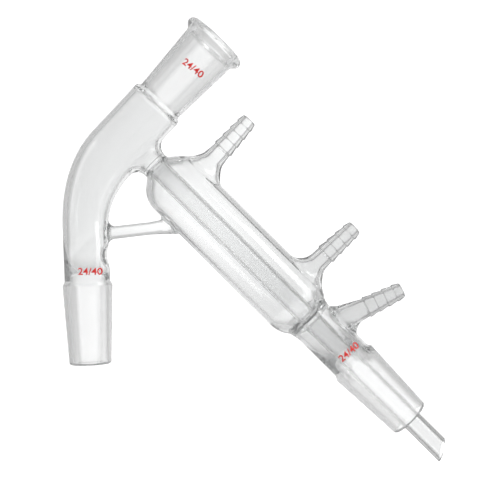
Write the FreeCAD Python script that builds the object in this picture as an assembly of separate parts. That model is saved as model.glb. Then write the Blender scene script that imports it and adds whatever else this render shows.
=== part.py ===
import FreeCAD, Part
import math
import os

from FreeCAD import Vector

# Short-path distillation head in borosilicate glass, fused into one piece.
# Millimetres, +Z up. The origin is the gauge plane of the lower ground joint,
# on its axis. Every axis of the head lies in the XZ plane.

# Ground joints, taper 1 in 10 on the diameter, length from shoulder to lip
gauge_diameter = 24.0
joint_length = 40.0
joint_taper = 0.1
joint_shoulder = 1.8
joint_lip = 1.3
joint_wall = 1.9

# Riser and bend above the lower joint
riser_diameter = 22.0
bend_apex = 49.6
upper_angle = 44.7
bend_radius = 52.0
bend_lead = 1.0
bend_step = 4.0
tube_wall = 1.8

# Slanted vapour tube and the socket at its top
vapour_diameter = 27.6
vapour_length = 52.8
socket_length = 41.6
socket_foot_diameter = 24.0
socket_wall = 2.1
rim_diameter = 33.2
rim_thickness = 6.0

# Condenser, measured along its own axis from the vapour tube's axis
condenser_start = 30.2
condenser_angle = 47.0
neck_diameter = 13.8
neck_length = 20.7
neck_blend = 5.5
neck_flare = 5.5
jacket_diameter = 31.0
jacket_wall = 1.8
jacket_end = 123.8
dome_rise = 7.6
dome_rounding = 13.0
closure_rounding = 15.0
closure_wall = 2.0
inner_diameter = 10.0
inner_bore = 7.6
mouth_length = 5.0

# Vacuum tube, receiver joint and drip tip
vacuum_diameter = 21.6
vacuum_wall = 1.6
receiver_shoulder = 153.0
drip_end = 217.6
drip_cut_angle = 30.5

# Hose barbs: where they leave the condenser axis, their angle above level, how far they
# reach, the fillet at their root outside, and the flare of their bore inside it
barb_tooth_count = 4
barb_tooth_pitch = 5.05
barb_crest_diameter = 10.8
barb_tip_diameter = 7.4
barb_tooth_depth = 0.6
barb_bevel = 0.6
barb_bore = 4.8
barb_shank = 9.4
outlet_station = 38.5
outlet_angle = 45.5
outlet_reach = 47.9
outlet_blend = 7.5
outlet_flare = 9.0
inlet_station = 107.2
inlet_angle = 40.7
inlet_reach = 46.9
inlet_blend = 7.5
inlet_flare = 9.0
suction_station = 132.2
suction_angle = 23.9
suction_reach = 43.9
suction_blend = 4.6
suction_flare = 3.0

# Solid brace between riser and jacket
brace_height = 23.7
brace_angle = 4.5
brace_diameter = 6.1
brace_riser_blend = 3.2
brace_flare_diameter = 8.4
brace_flare_length = 13.0
brace_jacket_blend = 1.3

# Shallow dent that the flame left in the riser's wall below the brace
dent_height = 14.0
dent_depth = 1.6
dent_curve = 8.0
dent_rounding = 4.0

# Sizes that follow from the ones above
gauge_radius = gauge_diameter / 2
joint_end = joint_shoulder - joint_length
riser_radius = riser_diameter / 2
vapour_radius = vapour_diameter / 2
socket_mouth = vapour_length + socket_length
inner_radius = inner_diameter / 2
jacket_radius = jacket_diameter / 2
vacuum_radius = vacuum_diameter / 2
vacuum_bore_radius = vacuum_radius - vacuum_wall
riser_bore_radius = riser_radius - tube_wall
vapour_bore_radius = vapour_radius - tube_wall
bend_turn = 90 - upper_angle
tangent_length = bend_radius * math.tan(math.radians(bend_turn) / 2)
straight_root = tangent_length + bend_lead


def aimed(angle):
    return Vector(math.cos(math.radians(angle)), 0, math.sin(math.radians(angle)))


up = Vector(0, 0, 1)
apex = Vector(0, 0, bend_apex)
upper_axis = aimed(upper_angle)
condenser_base = apex + upper_axis * condenser_start
condenser_axis = aimed(-condenser_angle)


def placed(solid, base, direction):
    """Move a solid made about the Z axis onto another axis of the head."""
    turn = FreeCAD.Rotation(up, direction)
    moved = solid.copy()
    moved.Placement = FreeCAD.Placement(base, turn).multiply(solid.Placement)
    return moved


def rounded_corner(before, corner, after, rounding):
    """Start, middle and end of the arc at a profile corner, or the bare corner."""
    back = (before - corner).normalize()
    ahead = (after - corner).normalize()
    half = back.getAngle(ahead) / 2
    if rounding == 0 or half > math.radians(89.5):
        return [corner]
    reach = rounding / math.tan(half)
    bisector = (back + ahead).normalize()
    middle = corner + bisector * (rounding / math.sin(half) - rounding)
    return [corner + back * reach, middle, corner + ahead * reach]


def turned(profile):
    """Revolve a closed profile of (radius, height, corner rounding) about the Z axis."""
    corners = [Vector(0, radius, height) for radius, height, rounding in profile]
    stretches = []
    for index, corner in enumerate(corners):
        after = corners[(index + 1) % len(corners)]
        stretches.append(rounded_corner(corners[index - 1], corner, after, profile[index][2]))
    edges = []
    for index, stretch in enumerate(stretches):
        edges.append(Part.makeLine(stretches[index - 1][-1], stretch[0]))
        if len(stretch) == 3:
            edges.append(Part.Arc(*stretch).toShape())
    face = Part.Face(Part.Wire(edges))
    return face.revolve(Vector(0, 0, 0), up, 360)


def tapered_radius(depth):
    """Radius of the ground cone at a depth from its gauge plane."""
    return gauge_radius - depth * joint_taper / 2


def male_joint(tube_radius, root):
    """Ground cone pointing down, its gauge plane at height 0, with a length of tube above."""
    end_radius = tapered_radius(-joint_end)
    return turned([
        (0, root, 0),
        (tube_radius, root, 0),
        (tube_radius, joint_shoulder, 0),
        (gauge_radius, 0, 0),
        (end_radius, joint_end, joint_lip),
        (0, joint_end, 0),
    ])


def male_bore(tube_bore, root):
    """Bore of a male joint, open at its lower end."""
    end_bore = tapered_radius(-joint_end) - joint_wall
    return turned([
        (0, root, 0),
        (tube_bore, root, 0),
        (tube_bore, joint_shoulder - 4, 0),
        (end_bore, joint_end + joint_lip, 0),
        (end_bore + joint_lip, joint_end, 0),
        (end_bore + joint_lip, joint_end - 1, 0),
        (0, joint_end - 1, 0),
    ])


def bend_ring(distance, start_radius, end_radius):
    """Circle across the bend at a distance along its centre line, which runs straight at both ends."""
    centre = Vector(bend_radius, 0, bend_apex - tangent_length)
    arc_length = bend_radius * math.radians(bend_turn)
    on_arc = min(max(distance, 0), arc_length)
    angle = on_arc / bend_radius
    facing = Vector(math.sin(angle), 0, math.cos(angle))
    on_axis = centre + Vector(-math.cos(angle), 0, math.sin(angle)) * bend_radius
    on_axis = on_axis + facing * (distance - on_arc)
    share = on_arc / arc_length
    radius = start_radius + (end_radius - start_radius) * share * share * (3 - 2 * share)
    ring = Part.Circle(Vector(0, 0, 0), up, radius).toShape()
    ring.rotate(Vector(0, 0, 0), up, 90)
    return Part.Wire([placed(ring, on_axis, facing)])


def swept_bend(start_radius, end_radius):
    """Bend that widens as it turns, and runs on past the neck as the slanted tube."""
    arc_length = bend_radius * math.radians(bend_turn)
    length = arc_length + straight_root - tangent_length
    steps = math.ceil(length / bend_step)
    stations = [length * step / steps for step in range(steps + 1)]
    rings = [bend_ring(station, start_radius, end_radius) for station in [-bend_lead] + stations]
    return Part.makeLoft(rings, True, False)


def vapour_body():
    """Slanted tube, its shoulder and the outside of the top socket with its beaded rim."""
    root = straight_root
    mouth_radius = gauge_radius + socket_wall
    rim_foot = socket_mouth - rim_thickness
    bead = (socket_mouth - rim_foot) * 0.45
    return turned([
        (0, root, 0),
        (vapour_radius, root, 0),
        (vapour_radius, vapour_length - 0.6, 2.4),
        (socket_foot_diameter / 2, vapour_length + 0.9, 1.0),
        (mouth_radius, rim_foot, 1.5),
        (rim_diameter / 2, rim_foot + bead, 1.6),
        (rim_diameter / 2, socket_mouth - bead * 0.5, 1.0),
        (rim_diameter / 2 - 1.4, socket_mouth, 0.8),
        (0, socket_mouth, 0),
    ])


def vapour_space():
    """Bore of the slanted tube, opening through the ground socket at the top."""
    root = straight_root
    socket_foot_bore = tapered_radius(socket_length)
    return turned([
        (0, root, 0),
        (vapour_bore_radius, root, 0),
        (vapour_bore_radius, vapour_length - 3.5, 0),
        (socket_foot_bore, vapour_length - 0.5, 0),
        (gauge_radius, socket_mouth - 0.8, 0),
        (gauge_radius + 0.8, socket_mouth, 0),
        (gauge_radius + 0.8, socket_mouth + 2, 0),
        (0, socket_mouth + 2, 0),
    ])


def dented(tube, tube_radius, curve):
    """Press a roller across the side of the riser that faces the condenser, and round the rim."""
    place = Vector(tube_radius - dent_depth + curve, -tube_radius, dent_height)
    roller = Part.makeCylinder(curve, 2 * tube_radius, place, Vector(0, 1, 0))
    pressed = tube.cut(roller)
    return pressed.makeFillet(dent_rounding, seam_edges(pressed, tube, roller))


def head_body():
    """Lower joint, riser, bend and slanted tube, solid, as their outside surface."""
    bend_start = bend_apex - tangent_length - bend_lead
    lower = dented(male_joint(riser_radius, bend_start), riser_radius, dent_curve)
    bend = swept_bend(riser_radius, vapour_radius)
    upper = placed(vapour_body(), apex, upper_axis)
    return lower.fuse(bend).fuse(upper)


def head_space():
    """Vapour path through the lower joint, riser, bend, slanted tube and socket."""
    bend_start = bend_apex - tangent_length - bend_lead
    lower = dented(male_bore(riser_bore_radius, bend_start), riser_bore_radius, dent_curve + tube_wall)
    bend = swept_bend(riser_bore_radius, vapour_bore_radius)
    upper = placed(vapour_space(), apex, upper_axis)
    return lower.fuse(bend).fuse(upper)


def condenser_body():
    """Neck, domed jacket, vacuum tube and receiver joint as one turned outside surface."""
    gauge = receiver_shoulder + joint_shoulder
    cone_end = receiver_shoulder + joint_length
    shape = turned([
        (0, 0, 0),
        (neck_diameter / 2, 0, 0),
        (neck_diameter / 2, neck_length, 1.2),
        (jacket_radius, neck_length + dome_rise, dome_rounding),
        (jacket_radius, jacket_end - 4, closure_rounding),
        (vacuum_radius + 1.0, jacket_end - 0.5, 1.5),
        (vacuum_radius, jacket_end + 5, 6),
        (vacuum_radius, receiver_shoulder, 0),
        (gauge_radius, gauge, 0),
        (tapered_radius(joint_length - joint_shoulder), cone_end, joint_lip),
        (0, cone_end, 0),
    ])
    return placed(shape, condenser_base, condenser_axis)


def water_space():
    """Inside of the jacket, as if the inner tube were not there."""
    bore = jacket_radius - jacket_wall
    shape = turned([
        (0, neck_length + 1.6, 0),
        (inner_radius, neck_length + 1.6, 0),
        (bore, neck_length + dome_rise + jacket_wall * 0.6, dome_rounding - jacket_wall),
        (bore, jacket_end - 5.5, closure_rounding - jacket_wall),
        (inner_radius, jacket_end + 0.2, 0),
        (0, jacket_end + 0.2, 0),
    ])
    return placed(shape, condenser_base, condenser_axis)


def vacuum_space():
    """Inside of the vacuum tube and receiver joint, as if the inner tube were not there."""
    cone_end = receiver_shoulder + joint_length
    end_bore = tapered_radius(joint_length - joint_shoulder) - joint_wall
    shape = turned([
        (0, jacket_end + closure_wall + 1.2, 0),
        (inner_radius, jacket_end + closure_wall + 1.2, 0),
        (vacuum_bore_radius, jacket_end + closure_wall, 0),
        (vacuum_bore_radius, receiver_shoulder + 4, 0),
        (end_bore, cone_end - joint_lip, 0),
        (end_bore + joint_lip, cone_end, 0),
        (end_bore + joint_lip, cone_end + 1, 0),
        (0, cone_end + 1, 0),
    ])
    return placed(shape, condenser_base, condenser_axis)


def inner_tube():
    """Inner tube as a solid rod, from the neck to its long drip point."""
    tube = Part.makeCylinder(inner_radius, drip_end + 10 - neck_length)
    tube.translate(Vector(0, 0, neck_length))
    tube = placed(tube, condenser_base, condenser_axis)
    return tube.cut(drip_cutter())


def drip_cutter():
    """Block beyond the inner tube's oblique end."""
    block = Part.makeBox(60, 60, 60, Vector(-30, -30, 0))
    long_side = condenser_axis.cross(Vector(0, 1, 0)).normalize()
    if long_side.z > 0:
        long_side = -long_side
    tip = condenser_base + condenser_axis * drip_end + long_side * inner_radius
    facing = aimed(drip_cut_angle - condenser_angle)
    return placed(block, tip, facing)


def condensate_bore():
    """Bore of the inner tube, from its flared mouth in the vapour tube to the drip point."""
    funnel = neck_diameter / 2 - tube_wall
    shape = turned([
        (0, vapour_bore_radius - 4, 0),
        (funnel, vapour_bore_radius - 4, 0),
        (funnel, neck_length - mouth_length / 2, 4),
        (inner_bore / 2, neck_length + mouth_length / 2, 4),
        (inner_bore / 2, drip_end + 10, 0),
        (0, drip_end + 10, 0),
    ])
    return placed(shape, condenser_base, condenser_axis)


def barb_body(reach, wall_radius):
    """Serrated hose barb about the Z axis, with sharp steps that face its root."""
    teeth_start = reach - barb_tooth_count * barb_tooth_pitch + 1.0
    shank = barb_shank / 2
    profile = [
        (0, wall_radius * 0.5, 0),
        (shank, wall_radius * 0.5, 0),
        (shank, teeth_start - 0.4, 0),
    ]
    shrink = (barb_crest_diameter - barb_tip_diameter) / 2 - barb_tooth_depth
    for tooth in range(barb_tooth_count):
        crest = barb_crest_diameter / 2 - shrink * tooth / barb_tooth_count
        foot = teeth_start + tooth * barb_tooth_pitch
        next_crest = barb_crest_diameter / 2 - shrink * (tooth + 1) / barb_tooth_count
        profile.append((crest, foot, 0))
        if tooth < barb_tooth_count - 1:
            profile.append((next_crest - barb_tooth_depth, foot + barb_tooth_pitch - 0.4, 0))
    profile.append((barb_tip_diameter / 2, reach - barb_bevel, 0))
    profile.append((barb_tip_diameter / 2 - barb_bevel, reach, 0))
    profile.append((0, reach, 0))
    return turned(profile)


def barb_space(reach, wall_radius):
    """Bore of a hose barb, from inside the jacket to its flared tip."""
    bore = barb_bore / 2
    start = wall_radius - 3
    return turned([
        (0, start, 0),
        (bore, start, 0),
        (bore, reach - 1.0, 0),
        (bore + 0.7, reach, 0),
        (bore + 0.7, reach + 1, 0),
        (0, reach + 1, 0),
    ])


def brace_rod():
    """Solid rod from the riser's axis to the condenser's axis, splayed where it meets the jacket."""
    start = Vector(0, 0, brace_height)
    lean = math.radians(90 - condenser_angle - brace_angle)
    off_axis = (condenser_base - start).cross(condenser_axis).Length
    length = off_axis / math.cos(lean)
    splay_end = length - jacket_radius / math.cos(lean) + brace_diameter / 2
    rod = turned([
        (0, 0, 0),
        (brace_diameter / 2, 0, 0),
        (brace_diameter / 2, splay_end - brace_flare_length, brace_flare_length * 3),
        (brace_flare_diameter / 2, splay_end, 0),
        (brace_flare_diameter / 2, length, 0),
        (0, length, 0),
    ])
    return placed(rod, start, aimed(brace_angle))


def lies_on(shape, place):
    return shape.Shells[0].distToShape(Part.Vertex(place))[0] < 1e-3


def seam_edges(joined, body, branch):
    """Edges of the joined solid that lie on both of the solids it was made from."""
    found = []
    for edge in joined.Edges:
        low, high = edge.ParameterRange
        places = [edge.valueAt(low + (high - low) * share) for share in (0.2, 0.5, 0.8)]
        if all(lies_on(body, place) and lies_on(branch, place) for place in places):
            found.append(edge)
    return found


def nearest_edge(shape, mark):
    return min(shape.Edges, key=lambda edge: edge.CenterOfMass.distanceToPoint(mark))


def blended(body, branch, blend_at):
    """Fuse a branch to the body and draw the glass out into a fillet along each seam.

    The function given tells the fillet's radius for a place on a seam.
    """
    joined = body.fuse(branch)
    marks = [edge.CenterOfMass for edge in seam_edges(joined, body, branch)]
    for blend in sorted({blend_at(mark) for mark in marks}, reverse=True):
        seam = [nearest_edge(joined, mark) for mark in marks if blend_at(mark) == blend]
        joined = joined.makeFillet(blend, seam)
    return joined


def even(radius):
    """The same fillet at every place on a seam."""
    return lambda place: radius


def brace_blend(place):
    """Wide fillet where the brace leaves the riser, a tight one on the jacket."""
    return brace_riser_blend if place.x < riser_radius * 1.3 else brace_jacket_blend


water_barbs = [
    (outlet_station, outlet_angle, outlet_reach, jacket_radius, outlet_blend, outlet_flare),
    (inlet_station, inlet_angle, inlet_reach, jacket_radius, inlet_blend, inlet_flare),
]
vacuum_barbs = [
    (suction_station, suction_angle, suction_reach, vacuum_radius, suction_blend, suction_flare),
]


def with_barbs(body, barbs):
    """Fuse the barbs onto the outside of the condenser."""
    for station, angle, reach, wall_radius, blend, flare in barbs:
        base = condenser_base + condenser_axis * station
        barb = placed(barb_body(reach, wall_radius), base, aimed(angle))
        body = blended(body, barb, even(blend))
    return body


def with_bores(space, barbs):
    """Open a space out through its barbs, and leave the inner tube standing in it."""
    for station, angle, reach, wall_radius, blend, flare in barbs:
        base = condenser_base + condenser_axis * station
        bore = placed(barb_space(reach, wall_radius), base, aimed(angle))
        space = blended(space, bore, even(flare))
    return space.cut(inner_tube())


def vapour_path():
    """Space of the head with the funnel through the neck flared out into it."""
    funnel = Part.makeCylinder(neck_diameter / 2 - tube_wall, neck_length - mouth_length / 2)
    return blended(head_space(), placed(funnel, condenser_base, condenser_axis), even(neck_flare))


def glass_head():
    """The whole head: outside surface first, then every space inside it."""
    body = blended(head_body(), condenser_body(), even(neck_blend))
    body = blended(body, brace_rod(), brace_blend)
    body = with_barbs(body, water_barbs + vacuum_barbs)
    body = body.fuse(inner_tube())
    body = body.cut(vapour_path())
    body = body.cut(with_bores(water_space(), water_barbs))
    body = body.cut(with_bores(vacuum_space(), vacuum_barbs))
    body = body.cut(condensate_bore())
    return body.Solids[0] if len(body.Solids) == 1 else body


os.makedirs("parts", exist_ok=True)
glass_head().exportStep("parts/glass_head.step")
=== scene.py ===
import math

import bpy
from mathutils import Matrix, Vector


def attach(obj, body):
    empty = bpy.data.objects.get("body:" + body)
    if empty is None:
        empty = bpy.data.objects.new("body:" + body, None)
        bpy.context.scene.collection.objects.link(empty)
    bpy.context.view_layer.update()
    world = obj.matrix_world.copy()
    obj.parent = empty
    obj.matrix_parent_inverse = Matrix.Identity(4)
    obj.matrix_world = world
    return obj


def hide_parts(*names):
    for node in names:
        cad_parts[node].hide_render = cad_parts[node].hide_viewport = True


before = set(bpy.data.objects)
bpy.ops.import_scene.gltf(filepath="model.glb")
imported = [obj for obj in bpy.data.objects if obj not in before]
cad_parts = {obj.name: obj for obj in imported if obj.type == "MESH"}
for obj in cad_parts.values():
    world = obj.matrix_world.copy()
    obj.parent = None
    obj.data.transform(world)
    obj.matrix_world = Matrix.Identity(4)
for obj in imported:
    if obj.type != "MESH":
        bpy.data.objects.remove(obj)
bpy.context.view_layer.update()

# Glass head
# One piece of borosilicate glass: the joints, tubes, jacket and hose barbs are
# drawn and fused together in the flame, annealed and fire polished, so every
# edge that the tools left is melted soft.
vapour_axis = Vector((0.710799, 0, 0.703395))
condenser_axis = Vector((0.681998, 0, -0.731354))
flask_gauge = Vector((0, 0, 0))
socket_gauge = Vector((0.067099, 0, 0.116000))
receiver_gauge = Vector((0.127039, 0, -0.042371))
melted_edge = 0.0003
sharp_edge_angle = 46
same_point = 0.000005
same_wall = 0.00002

solid_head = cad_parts["glass_head"]
bpy.ops.object.select_all(action="DESELECT")
bpy.context.view_layer.objects.active = solid_head
solid_head.select_set(True)
bpy.ops.object.duplicate()
glass_head = bpy.context.object
glass_head.name = "blown_glass"
bpy.ops.mesh.customdata_custom_splitnormals_clear()
bpy.ops.object.mode_set(mode="EDIT")
bpy.ops.mesh.select_all(action="SELECT")
bpy.ops.mesh.remove_doubles(threshold=same_point)
bpy.ops.object.mode_set(mode="OBJECT")
fire_polish = glass_head.modifiers.new("fire_polish", "BEVEL")
fire_polish.width = melted_edge
fire_polish.segments = 2
fire_polish.limit_method = "ANGLE"
fire_polish.angle_limit = math.radians(sharp_edge_angle)
fire_polish.use_clamp_overlap = False
bpy.ops.object.modifier_apply(modifier="fire_polish")


def share(value, start, stop):
    """0 at start, 1 at stop, even between them and held past both."""
    return max(0, min(1, (value - start) / (stop - start)))


def draw_root(leaves, lean, foot, neck, width, upper_share, reach, still_within, free_beyond):
    """Draw a barb's root out of the wall in a broad cone, as the flame does.

    The barb leaves the condenser axis at a point and leans by so many degrees above level. Its
    root is drawn out by width at its foot, by less above it and by nothing at its neck, and its
    upper side gets a share of that. Glass further than reach from the barb's own axis stays where
    it is. So does glass within still_within of the condenser axis, and what is further off than
    free_beyond moves in full.
    """
    least_height = 0.008
    full_reach_share = 0.6
    front_to_back_share = 0.5
    barb_axis = Vector((math.cos(math.radians(lean)), 0, math.sin(math.radians(lean))))
    upper_side = Vector((-barb_axis.z, 0, barb_axis.x))
    for point in glass_head.data.vertices:
        offset = point.co - Vector(leaves)
        height = offset.dot(barb_axis)
        aside = offset - barb_axis * height
        if least_height < height < neck and 0.0 < aside.length < reach:
            off_condenser = (offset - condenser_axis * offset.dot(condenser_axis)).length
            outward = aside.normalized()
            upper = (1 + outward.dot(upper_side)) / 2
            pull = width * share(height, neck, foot)
            pull *= share(off_condenser, still_within, free_beyond)
            pull *= share(aside.length, reach, reach * full_reach_share)
            pull *= 1 - upper * (1 - upper_share)
            outward.y *= front_to_back_share
            point.co += outward * pull


draw_root(
    leaves=(0.047723, 0, 0.042685), lean=45.5, foot=0.0185, neck=0.0245, width=0.0018,
    upper_share=1.0, reach=0.012, still_within=0.010, free_beyond=0.012,
)
draw_root(
    leaves=(0.094576, 0, -0.007559), lean=40.7, foot=0.0180, neck=0.0235, width=0.0018,
    upper_share=0.2, reach=0.012, still_within=0.010, free_beyond=0.012,
)
draw_root(
    leaves=(0.111626, 0, -0.025842), lean=23.9, foot=0.0130, neck=0.0215, width=0.0020,
    upper_share=1.0, reach=0.0093, still_within=0.0080, free_beyond=0.0115,
)
bpy.ops.object.shade_smooth_by_angle(angle=math.radians(40))
flow = glass_head.modifiers.new("flow", "DATA_TRANSFER")
flow.object = solid_head
flow.use_loop_data = True
flow.data_types_loops = {"CUSTOM_NORMAL"}
flow.loop_mapping = "POLYINTERP_NEAREST"
flow.use_max_distance = True
flow.max_distance = same_wall
bpy.ops.object.modifier_apply(modifier="flow")

# The glass is clear and a little grey through its thickness, and a painted shade
# makes its walls greyer the more steeply they are seen.
clear_glass = bpy.data.materials.new("clear_borosilicate")
clear_glass.use_nodes = True
nodes = clear_glass.node_tree.nodes
links = clear_glass.node_tree.links
polished = nodes["Principled BSDF"]
polished.inputs["IOR"].default_value = 1.474
thickness = nodes.new("ShaderNodeVolumeAbsorption")
thickness.inputs["Color"].default_value = (0.40, 0.42, 0.42, 1)
thickness.inputs["Density"].default_value = 24
links.new(thickness.outputs["Volume"], nodes["Material Output"].inputs["Volume"])


def measure(operation, first, second=None):
    """One calculating node; a plain number or the output of another node goes into each side."""
    step = nodes.new("ShaderNodeMath")
    step.operation = operation
    for socket, value in zip(step.inputs, (first, second)):
        if isinstance(value, (int, float)):
            socket.default_value = value
        elif value is not None:
            links.new(value, socket)
    return step.outputs[0]


def product(first, *others):
    """All the shares multiplied, so 1 only where every one is 1."""
    for other in others:
        first = measure("MULTIPLY", first, other)
    return first


def most(first, *others):
    """The largest of the shares."""
    for other in others:
        first = measure("MAXIMUM", first, other)
    return first


def less(amount):
    """1 less an amount."""
    return measure("SUBTRACT", 1.0, amount)


def along_axis(centre, direction):
    """How far a point lies along an axis from its centre, and how far off the axis."""
    place = nodes.new("ShaderNodeTexCoord")
    offset = nodes.new("ShaderNodeVectorMath")
    offset.operation = "SUBTRACT"
    offset.inputs[1].default_value = centre
    links.new(place.outputs["Object"], offset.inputs[0])
    along = nodes.new("ShaderNodeVectorMath")
    along.operation = "DOT_PRODUCT"
    along.inputs[1].default_value = direction
    links.new(offset.outputs["Vector"], along.inputs[0])
    reach = nodes.new("ShaderNodeVectorMath")
    reach.operation = "LENGTH"
    links.new(offset.outputs["Vector"], reach.inputs[0])
    depth = along.outputs["Value"]
    square = measure("MULTIPLY", reach.outputs["Value"], reach.outputs["Value"])
    radius = measure("SQRT", measure("SUBTRACT", square, measure("MULTIPLY", depth, depth)))
    return depth, radius


def between(value, start, stop):
    """0 before start, 1 past stop and an even slope from one to the other."""
    slope = nodes.new("ShaderNodeMapRange")
    slope.inputs["From Min"].default_value = start
    slope.inputs["From Max"].default_value = stop
    links.new(value, slope.inputs["Value"])
    return slope.outputs["Result"]


def stretch(place, begins, full_from, full_to, ends):
    """1 on a stretch of an axis, with an even slope at each end of it."""
    return product(between(place, begins, full_from), between(place, ends, full_to))


# All three joints are ground to the same taper. The grit leaves them frosted,
# with a grain that only shows close by.
def ground_cone(gauge_centre, towards_narrow_end, ground_from, ground_to):
    """1 where the glass lies on a ground cone, 24 mm wide at its gauge and tapered 1 in 10."""
    gauge_radius, radius_per_depth = 0.012, 0.05
    skin, fade = 0.0005, 0.0003
    depth, radius = along_axis(gauge_centre, towards_narrow_end)
    cone = measure("SUBTRACT", gauge_radius, measure("MULTIPLY", depth, radius_per_depth))
    near = measure("LESS_THAN", measure("ABSOLUTE", measure("SUBTRACT", radius, cone)), skin)
    length = stretch(
        depth, ground_from - fade, ground_from + fade, ground_to - fade, ground_to + fade
    )
    return product(near, length)


ground = most(
    ground_cone(flask_gauge, (0, 0, -1), 0.0, 0.0376),
    ground_cone(socket_gauge, -vapour_axis, 0.001, 0.041),
    ground_cone(receiver_gauge, condenser_axis, 0.0, 0.0376),
)
ground_roughness = 0.18
grain_roughness = 0.06
ground_loss = 0.12
grain = nodes.new("ShaderNodeTexNoise")
grain.inputs["Scale"].default_value = 2500
grain.inputs["Detail"].default_value = 2
links.new(nodes.new("ShaderNodeTexCoord").outputs["Object"], grain.inputs["Vector"])
haze = measure("ADD", ground_roughness, product(grain.outputs["Fac"], grain_roughness))
links.new(product(ground, haze), polished.inputs["Roughness"])
links.new(less(product(ground, ground_loss)), polished.inputs["Transmission Weight"])

# Tones of the walls, from seen square on to seen edge on, are painted shade.
glancing = nodes.new("ShaderNodeLayerWeight")
glancing.inputs["Blend"].default_value = 0.5
facing = glancing.outputs["Facing"]


def tones_with_painted_shade(square_on, edge_on, steps, coolness):
    """Painted shade: a colour for each slope of the wall, with steps of (slope, grey) between the
    two ends.
    """
    ramp = nodes.new("ShaderNodeValToRGB")
    ramp.color_ramp.elements[0].color = square_on
    ramp.color_ramp.elements[1].color = edge_on
    for slope, grey in steps:
        ramp.color_ramp.elements.new(slope).color = (grey, grey * coolness, grey * coolness, 1)
    links.new(facing, ramp.inputs["Fac"])
    return ramp.outputs["Color"]


def mixed(factor, first, second):
    """The first colour turned into the second by a factor."""
    mix = nodes.new("ShaderNodeMix")
    mix.data_type = "RGBA"
    links.new(factor, mix.inputs["Factor"])
    links.new(first, mix.inputs["A"])
    if isinstance(second, tuple):
        mix.inputs["B"].default_value = second
    else:
        links.new(second, mix.inputs["B"])
    return mix.outputs["Result"]


# Frosted joints: the frost's own white seen square on, with a painted grey band partway out and
# painted shade toward their edges.
frost_and_painted_shade = tones_with_painted_shade(
    (1, 1, 1, 1), (0.34, 0.345, 0.345, 1),
    ((0.05, 1.0), (0.145, 0.64), (0.28, 1.0), (0.45, 0.98), (0.60, 0.76)), 1.0,
)
# Clear walls: light grey seen square on, deepening into painted shade as they turn edge on.
clear = tones_with_painted_shade(
    (0.945, 0.949, 0.949, 1), (0.32, 0.325, 0.325, 1),
    ((0.25, 0.94), (0.42, 0.92), (0.48, 0.85), (0.58, 0.80), (0.68, 0.57), (0.80, 0.46)), 1.003,
)

# Places on the head. Up and left are along and across the vapour tube, down is
# along the condenser from the receiver joint, and low is under the flask joint.
left_axis = Vector((-vapour_axis.z, 0, vapour_axis.x))
up, _ = along_axis((0, 0, 0), vapour_axis)
left, _ = along_axis((0, 0, 0), left_axis)
right, _ = along_axis((0, 0, 0), (1, 0, 0))
low, off_riser = along_axis((0, 0, 0), (0, 0, -1))
down, off_condenser = along_axis(receiver_gauge, condenser_axis)
vapour_tube = product(between(left, -0.008, 0.022), between(up, 0.0885, 0.0865))
condenser_side = measure("LESS_THAN", left, 0.014)
inner_tube = measure("LESS_THAN", off_condenser, 0.0075)
jacket_end = stretch(down, -0.095, -0.038, -0.034, -0.030)
vacuum_tube = stretch(down, -0.034, -0.030, -0.004, -0.002)
drip_tip = between(down, 0.0385, 0.0395)
barbs = product(
    between(off_condenser, 0.0160, 0.0185), between(left, 0.016, 0.014),
    measure("GREATER_THAN", right, 0.05),
)
brace = product(
    between(off_riser, 0.0112, 0.0125), between(off_condenser, 0.0160, 0.0175),
    between(left, 0.018, 0.015), measure("LESS_THAN", right, 0.05),
    measure("LESS_THAN", low, 0),
)

# Painted shade: walls seen square on are painted greyer where two walls stand one behind
# the other (half as much on the inner tube), and on the vapour tube, drip tip and condenser side.
double_wall_painted_shade = measure("ADD", product(vacuum_tube, 0.16), product(jacket_end, 0.13))
grey = product(double_wall_painted_shade, less(product(inner_tube, 0.5)))
for region, depth_of_painted_shade in ((vapour_tube, 0.10), (drip_tip, 0.06), (condenser_side, 0.03)):
    grey = measure("ADD", grey, product(region, depth_of_painted_shade))
square_on = between(facing, 0.5, 0.3)

# The slim parts, barbs, brace and drip tip, get a painted dark line of shade along their sides.
slim = most(barbs, product(brace, 0.7), drip_tip)
painted_side_shade = product(slim, between(facing, 0.20, 0.55), 0.62)
wall = nodes.new("ShaderNodeVectorMath")
wall.operation = "SCALE"
links.new(clear, wall.inputs["Vector"])
links.new(product(less(product(grey, square_on)), less(painted_side_shade)), wall.inputs["Scale"])

# The fused seams, the socket's rim and the bores of the male joints are thick; over them
# the painted shade gives way to a near-white painted light.
painted_light_white = (0.975, 0.978, 0.978, 1)
socket_seam = product(stretch(up, 0.0840, 0.0850, 0.0895, 0.0905), between(left, 0.016, 0.020))
socket_rim = between(up, 0.1200, 0.1220)
receiver_seam = stretch(down, -0.005, -0.004, 0.0, 0.001)
closure_seam = product(stretch(down, -0.044, -0.038, -0.029, -0.027), 0.7)
seams = most(socket_seam, socket_rim, receiver_seam, closure_seam)
not_on_edge = between(facing, 0.9, 0.7)
receiver_bore = product(
    stretch(down, -0.001, 0.001, 0.0375, 0.0385),
    measure("ADD", 0.6, product(inner_tube, 0.4)),
)
flask_bore = product(between(low, 0.0, 0.001), measure("LESS_THAN", off_riser, 0.0125), 0.6)
painted_light_share = most(product(seams, not_on_edge, 0.8), receiver_bore, flask_bore)
glass_colour = mixed(ground, mixed(painted_light_share, wall.outputs["Vector"], painted_light_white), frost_and_painted_shade)
links.new(glass_colour, polished.inputs["Base Color"])

# Light that is caught between the walls is let straight out after a few turns.
first_let_out, all_let_out = 4, 6
caught = nodes.new("ShaderNodeLightPath")
links.new(
    between(caught.outputs["Ray Depth"], all_let_out, first_let_out), polished.inputs["Alpha"]
)
glass_head.data.materials.clear()
glass_head.data.materials.append(clear_glass)
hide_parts("glass_head")
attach(glass_head, "root")

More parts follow.
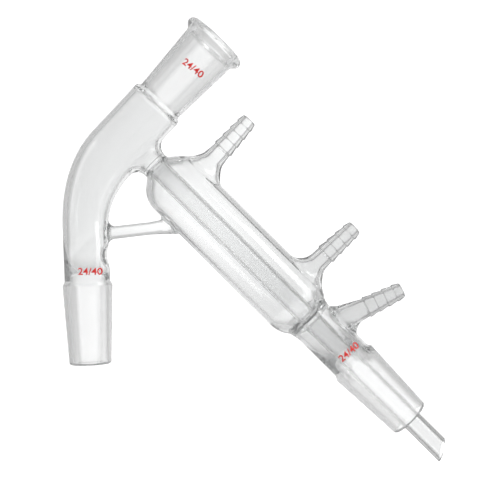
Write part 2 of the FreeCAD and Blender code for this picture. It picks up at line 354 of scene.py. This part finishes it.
# Joint sizes
# Red enamel figures, printed in a thin film on the outside of each ground joint
# or just above it, and fired on.
print_width = 0.0112
print_height = 0.0034
print_weight = 0.018
print_start = -0.02
film_thickness = 0.00004
film_gap = 0.00003
strip_width = 0.0004
strips_each_side = 14

red_enamel = bpy.data.materials.new("red_enamel")
red_enamel.use_nodes = True
nodes = red_enamel.node_tree.nodes
links = red_enamel.node_tree.links
film = nodes["Principled BSDF"]
film.inputs["Roughness"].default_value = 0.35
film.inputs["IOR"].default_value = 1.5
speckle = nodes.new("ShaderNodeTexNoise")
speckle.inputs["Scale"].default_value = 1800
links.new(nodes.new("ShaderNodeTexCoord").outputs["Object"], speckle.inputs["Vector"])
reds = nodes.new("ShaderNodeValToRGB")
reds.color_ramp.elements[0].position = 0.35
reds.color_ramp.elements[0].color = (0.72, 0.025, 0.018, 1)
reds.color_ramp.elements[1].position = 0.65
reds.color_ramp.elements[1].color = (0.60, 0.015, 0.012, 1)
links.new(speckle.outputs["Fac"], reds.inputs["Fac"])
links.new(reds.outputs["Color"], film.inputs["Base Color"])


def print_size(name, across, height, slope):
    """Figures laid on the front of the glass at a place and a slope in degrees."""
    bpy.ops.object.select_all(action="DESELECT")
    bpy.ops.object.text_add()
    figures = bpy.context.object
    figures.name = name
    figures.data.body = "24/40"
    figures.data.align_x = "CENTER"
    figures.data.align_y = "CENTER"
    figures.data.offset = print_weight
    bpy.ops.object.convert(target="MESH")
    figures.dimensions = (print_width, print_height, 0)
    bpy.ops.object.transform_apply(location=False, rotation=False, scale=True)
    bpy.ops.object.mode_set(mode="EDIT")
    for strip in range(-strips_each_side, strips_each_side + 1):
        bpy.ops.mesh.select_all(action="SELECT")
        bpy.ops.mesh.bisect(plane_co=(strip * strip_width, 0, 0), plane_no=(1, 0, 0))
    bpy.ops.object.mode_set(mode="OBJECT")
    figures.rotation_euler = (math.radians(90), math.radians(-slope), 0)
    figures.location = (across, print_start, height)
    bpy.ops.object.transform_apply()
    wrap = figures.modifiers.new("wrap", "SHRINKWRAP")
    wrap.target = glass_head
    wrap.wrap_method = "PROJECT"
    wrap.use_project_y = True
    wrap.use_positive_direction = True
    wrap.offset = film_gap
    bpy.ops.object.modifier_apply(modifier="wrap")
    film_coat = figures.modifiers.new("film", "SOLIDIFY")
    film_coat.thickness = film_thickness
    film_coat.offset = 1
    bpy.ops.object.modifier_apply(modifier="film")
    figures.data.materials.append(red_enamel)
    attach(figures, "root")


print_size("flask_joint_size", across=0.0028, height=0.0066, slope=-2.2)
print_size("socket_size", across=0.0553, height=0.1007, slope=-40.1)
print_size("receiver_joint_size", across=0.1240, height=-0.0362, slope=38.6)

# Floor and backdrop
# Seamless pale paper, flat under the head and swept up behind it, with a square pool of
# light painted on it as a glow, square as seen from the front, brighter on its right half.
paper_width, paper_length = 5, 2.8
paper_middle, floor_level = (0.07, -0.2), -0.35
paper_back = 1.1
turn_up = 0.35
wall_height = 1.6
turn_radius = 0.3

bpy.ops.object.select_all(action="DESELECT")
bpy.ops.mesh.primitive_plane_add(size=1)
sweep = bpy.context.object
sweep.name = "pale_sweep"
bpy.ops.object.mode_set(mode="EDIT")
bpy.ops.mesh.select_all(action="SELECT")
bpy.ops.transform.resize(value=(paper_width, paper_length, 1))
bpy.ops.transform.translate(value=(*paper_middle, floor_level))
bpy.ops.mesh.select_mode(type="EDGE")
bpy.ops.mesh.select_all(action="DESELECT")
bpy.ops.object.mode_set(mode="OBJECT")
for edge in sweep.data.edges:
    edge.select = all(sweep.data.vertices[corner].co.y > paper_back for corner in edge.vertices)
bpy.ops.object.mode_set(mode="EDIT")
for pull in ((0, turn_up, 0), (0, 0, turn_up), (0, 0, wall_height)):
    bpy.ops.mesh.extrude_edges_move(TRANSFORM_OT_translate={"value": pull})
bpy.ops.object.mode_set(mode="OBJECT")
curl = sweep.modifiers.new("curl", "BEVEL")
curl.width = turn_radius
curl.segments = 12
curl.limit_method = "ANGLE"
bpy.ops.object.modifier_apply(modifier="curl")
bpy.ops.object.shade_smooth()

pool_throw = 0.53
pool_across, pool_height = 0.074, 0.019
paper = bpy.data.materials.new("paper_with_painted_glow")
paper.use_nodes = True
nodes = paper.node_tree.nodes
links = paper.node_tree.links
sheet = nodes["Principled BSDF"]
sheet.inputs["Base Color"].default_value = (0.82, 0.82, 0.82, 1)
sheet.inputs["Roughness"].default_value = 0.9
sheet.inputs["Emission Color"].default_value = (1, 1, 1, 1)


def eased(value, start, stop, low_end, high_end):
    """The low end before start, the high end past stop, and a smooth pass between them."""
    slope = nodes.new("ShaderNodeMapRange")
    slope.interpolation_type = "SMOOTHSTEP"
    slope.inputs["From Min"].default_value = start
    slope.inputs["From Max"].default_value = stop
    slope.inputs["To Min"].default_value = low_end
    slope.inputs["To Max"].default_value = high_end
    links.new(value, slope.inputs["Value"])
    return slope.outputs["Result"]


# The painted pool of light: the paper glows behind the head in a square as seen from 0.53 m in
# front, more on its right half.
spot = nodes.new("ShaderNodeSeparateXYZ")
links.new(nodes.new("ShaderNodeTexCoord").outputs["Object"], spot.inputs["Vector"])
away = measure("ADD", spot.outputs["Y"], pool_throw)
aside = measure("SUBTRACT", spot.outputs["X"], pool_across)
over = measure("SUBTRACT", spot.outputs["Z"], pool_height)
off_middle = most(measure("ABSOLUTE", aside), measure("ABSOLUTE", over))
painted_pool = eased(
    measure("DIVIDE", off_middle, away), start=0.222, stop=0.36, low_end=0.26, high_end=0.0
)
painted_brighter_right = eased(
    measure("DIVIDE", aside, away), start=-0.19, stop=0.0, low_end=1.4, high_end=1.7
)
behind_head = between(spot.outputs["Y"], 0.0, 0.08)
links.new(product(painted_pool, painted_brighter_right, behind_head), sheet.inputs["Emission Strength"])
sweep.data.materials.append(paper)

# Studio light
# Pale grey room, with one tall soft box on each side of the head, a small one
# low behind it on the left and a broad one above.
world = bpy.data.worlds.new("grey_room")
bpy.context.scene.world = world
world.use_nodes = True
world.node_tree.nodes["Background"].inputs["Color"].default_value = (0.85, 0.85, 0.85, 1)
world.node_tree.nodes["Background"].inputs["Strength"].default_value = 1.0


def soft_box(name, place, aim, width, height, power):
    """A four-sided lamp at a place, turned towards its aim, with its power in watts."""
    bpy.ops.object.light_add(type="AREA", location=place)
    box = bpy.context.object
    box.name = name
    box.rotation_euler = (Vector(aim) - Vector(place)).to_track_quat("-Z", "Y").to_euler()
    box.data.shape = "RECTANGLE"
    box.data.size = width
    box.data.size_y = height
    box.data.energy = power


head_middle = (0.08, 0, 0.02)
floor_behind = (-0.38, 0.4, -0.35)
soft_box("right_box", (0.95, -0.35, 0.35), head_middle, width=0.35, height=0.9, power=3.2)
soft_box("left_box", (-0.9, -0.2, 0.3), head_middle, width=0.3, height=0.9, power=1.0)
soft_box("low_box", (-0.25, 0.25, 0.0), floor_behind, width=0.3, height=0.3, power=0.3)
soft_box("top_box", (0.1, -0.3, 1.1), (0.08, 0, 0.0), width=0.9, height=0.5, power=1.5)
bpy.context.scene.view_settings.view_transform = "Standard"

# Camera
# Level with the middle of the head and square to the plane of its tubes, tipped
# sideways by the small lean that the head has in the picture.
head_lean = math.radians(2.19)
bpy.ops.object.camera_add(
    location=(0.07436, -0.530, 0.01891), rotation=(math.radians(90), head_lean, 0)
)
camera = bpy.context.object
camera.data.lens = 82.3
camera.data.sensor_width = 36
camera.data.clip_start = 0.01
bpy.context.scene.camera = camera
